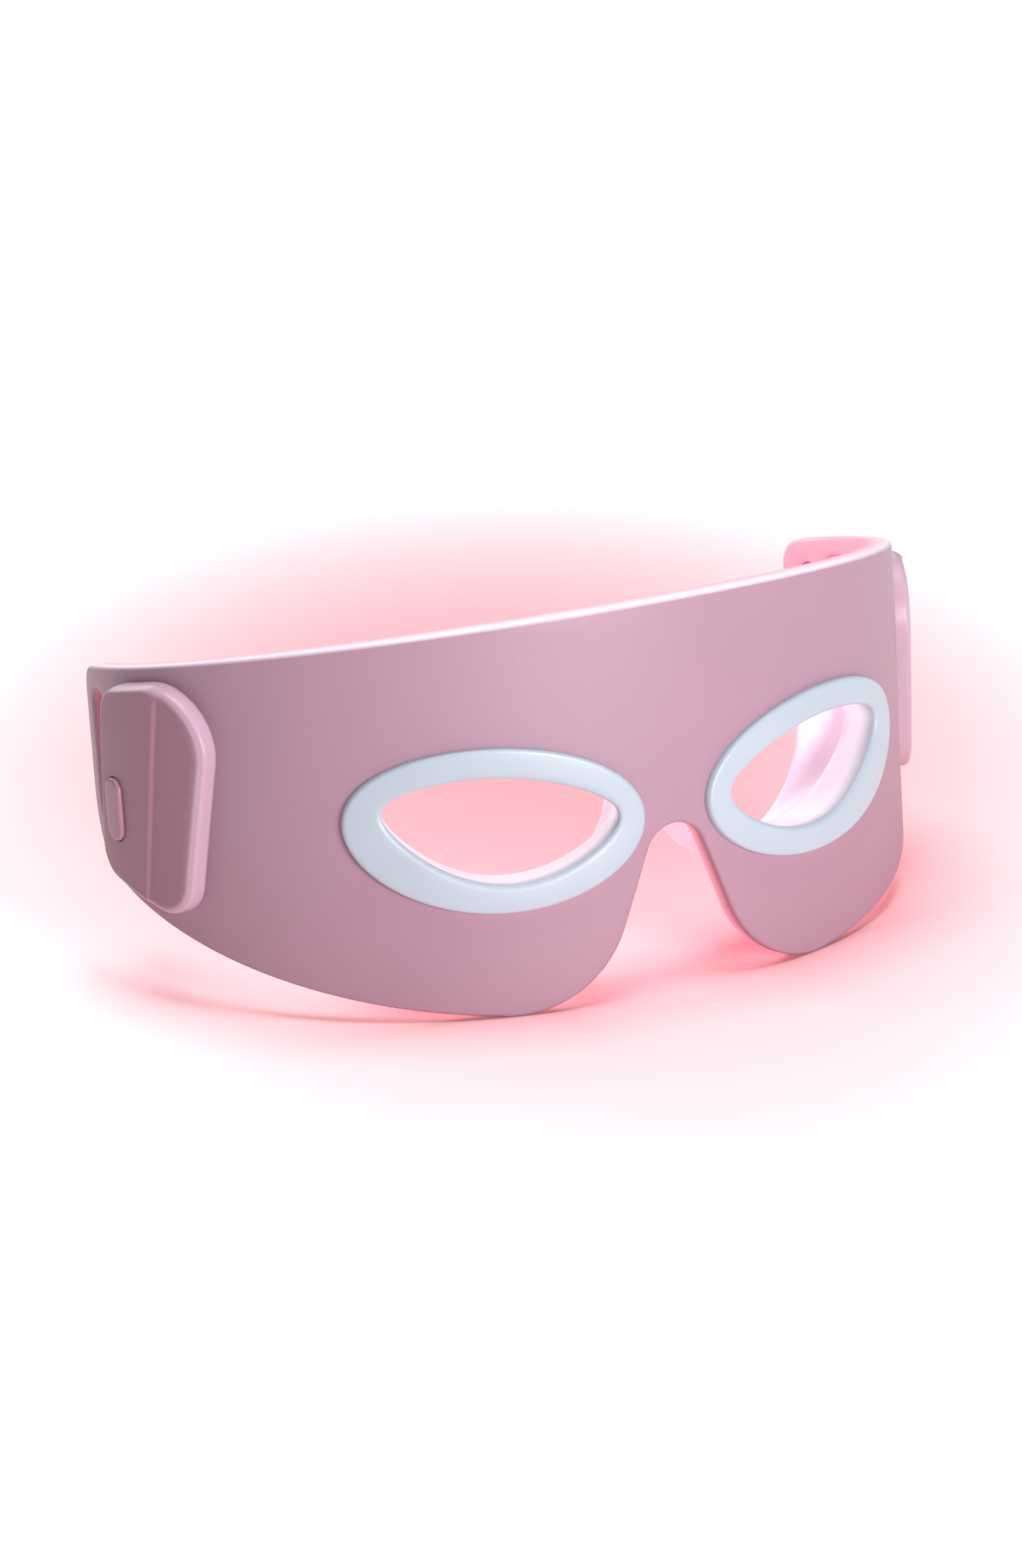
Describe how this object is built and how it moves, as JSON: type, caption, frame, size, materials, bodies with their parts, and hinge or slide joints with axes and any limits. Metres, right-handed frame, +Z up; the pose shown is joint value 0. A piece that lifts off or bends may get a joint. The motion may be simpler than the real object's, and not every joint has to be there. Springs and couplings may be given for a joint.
{
  "type": "light therapy eye mask",
  "caption": "Wrap-around silicone eye mask with lit inner face, almond eye openings with deep cups, flexing temples, temple pods, a push button and strap slots.",
  "frame": {"origin": "under the middle of the mask, level with the lowest points of the cheek lobes", "axes": "+Z up as worn, the front faces -Y, +X to the wearer's left, symmetric about X = 0 but for the button and socket"},
  "size_m": [0.1677, 0.0869, 0.0731],
  "materials": {
    "silicone_mauve": "satin, soft-touch silicone",
    "liner_pink": "translucent pink silicone, lit from behind",
    "flex_board": "white polyimide board",
    "led_red": "clear red lens",
    "led_infrared": "dark clear lens",
    "pearl": "pearl",
    "cup_silicone": "soft pearl-white silicone",
    "steel": "plated steel",
    "pod_plastic": "soft-touch",
    "base_plastic": "moulded",
    "rigid_board": "solder mask",
    "connector_plastic": "moulded",
    "chip": "moulded epoxy",
    "button_plastic": "satin",
    "cell_foil": "foil pouch"
  },
  "bodies": {
    "front": {"front_shell": "silicone_mauve", "front_liner": "liner_pink", "front_led_board": "flex_board", "front_red_leds": "led_red", "front_infrared_leds": "led_infrared", "left_eye_ring": "pearl", "right_eye_ring": "pearl", "left_eye_cup": "cup_silicone", "right_eye_cup": "cup_silicone"},
    "right_temple": {"right_temple_liner": "liner_pink", "right_temple_led_board": "flex_board", "right_temple_leds": "led_red", "right_pod_screws": "steel", "right_temple_shell": "silicone_mauve", "control_pod_cover": "pod_plastic", "control_pod_base": "base_plastic", "control_board": "rigid_board", "control_connector": "connector_plastic", "controller_chip": "chip", "boost_inductor": "chip", "tact_switch": "steel"},
    "left_temple": {"left_temple_liner": "liner_pink", "left_temple_led_board": "flex_board", "left_temple_leds": "led_red", "left_pod_screws": "steel", "left_temple_shell": "silicone_mauve", "charge_pod_cover": "pod_plastic", "charge_pod_base": "base_plastic", "charge_board": "rigid_board", "charge_connector": "connector_plastic", "charger_chip": "chip", "battery": "cell_foil", "usb_socket": "steel"},
    "power_button": {"power_button": "button_plastic"}
  },
  "joints": [
    {"name": "right_temple_flex", "type": "hinge", "parent": "front", "child": "right_temple", "pos_m": [-0.0622, -0.01317, 0.036], "axis": [0, 0, 1], "range_deg": [-15, 20], "stiffness_Nm_per_rad": 0.3},
    {"name": "left_temple_flex", "type": "hinge", "parent": "front", "child": "left_temple", "pos_m": [0.0622, -0.01317, 0.036], "axis": [0, 0, -1], "range_deg": [-15, 20], "stiffness_Nm_per_rad": 0.3},
    {"name": "power_button_press", "type": "slide", "parent": "right_temple", "child": "power_button", "axis": [0.9931, 0.1169, 0], "range_m": [0, 0.0005], "stiffness_N_per_m": 1500, "springref_m": -0.0005}
  ]
}
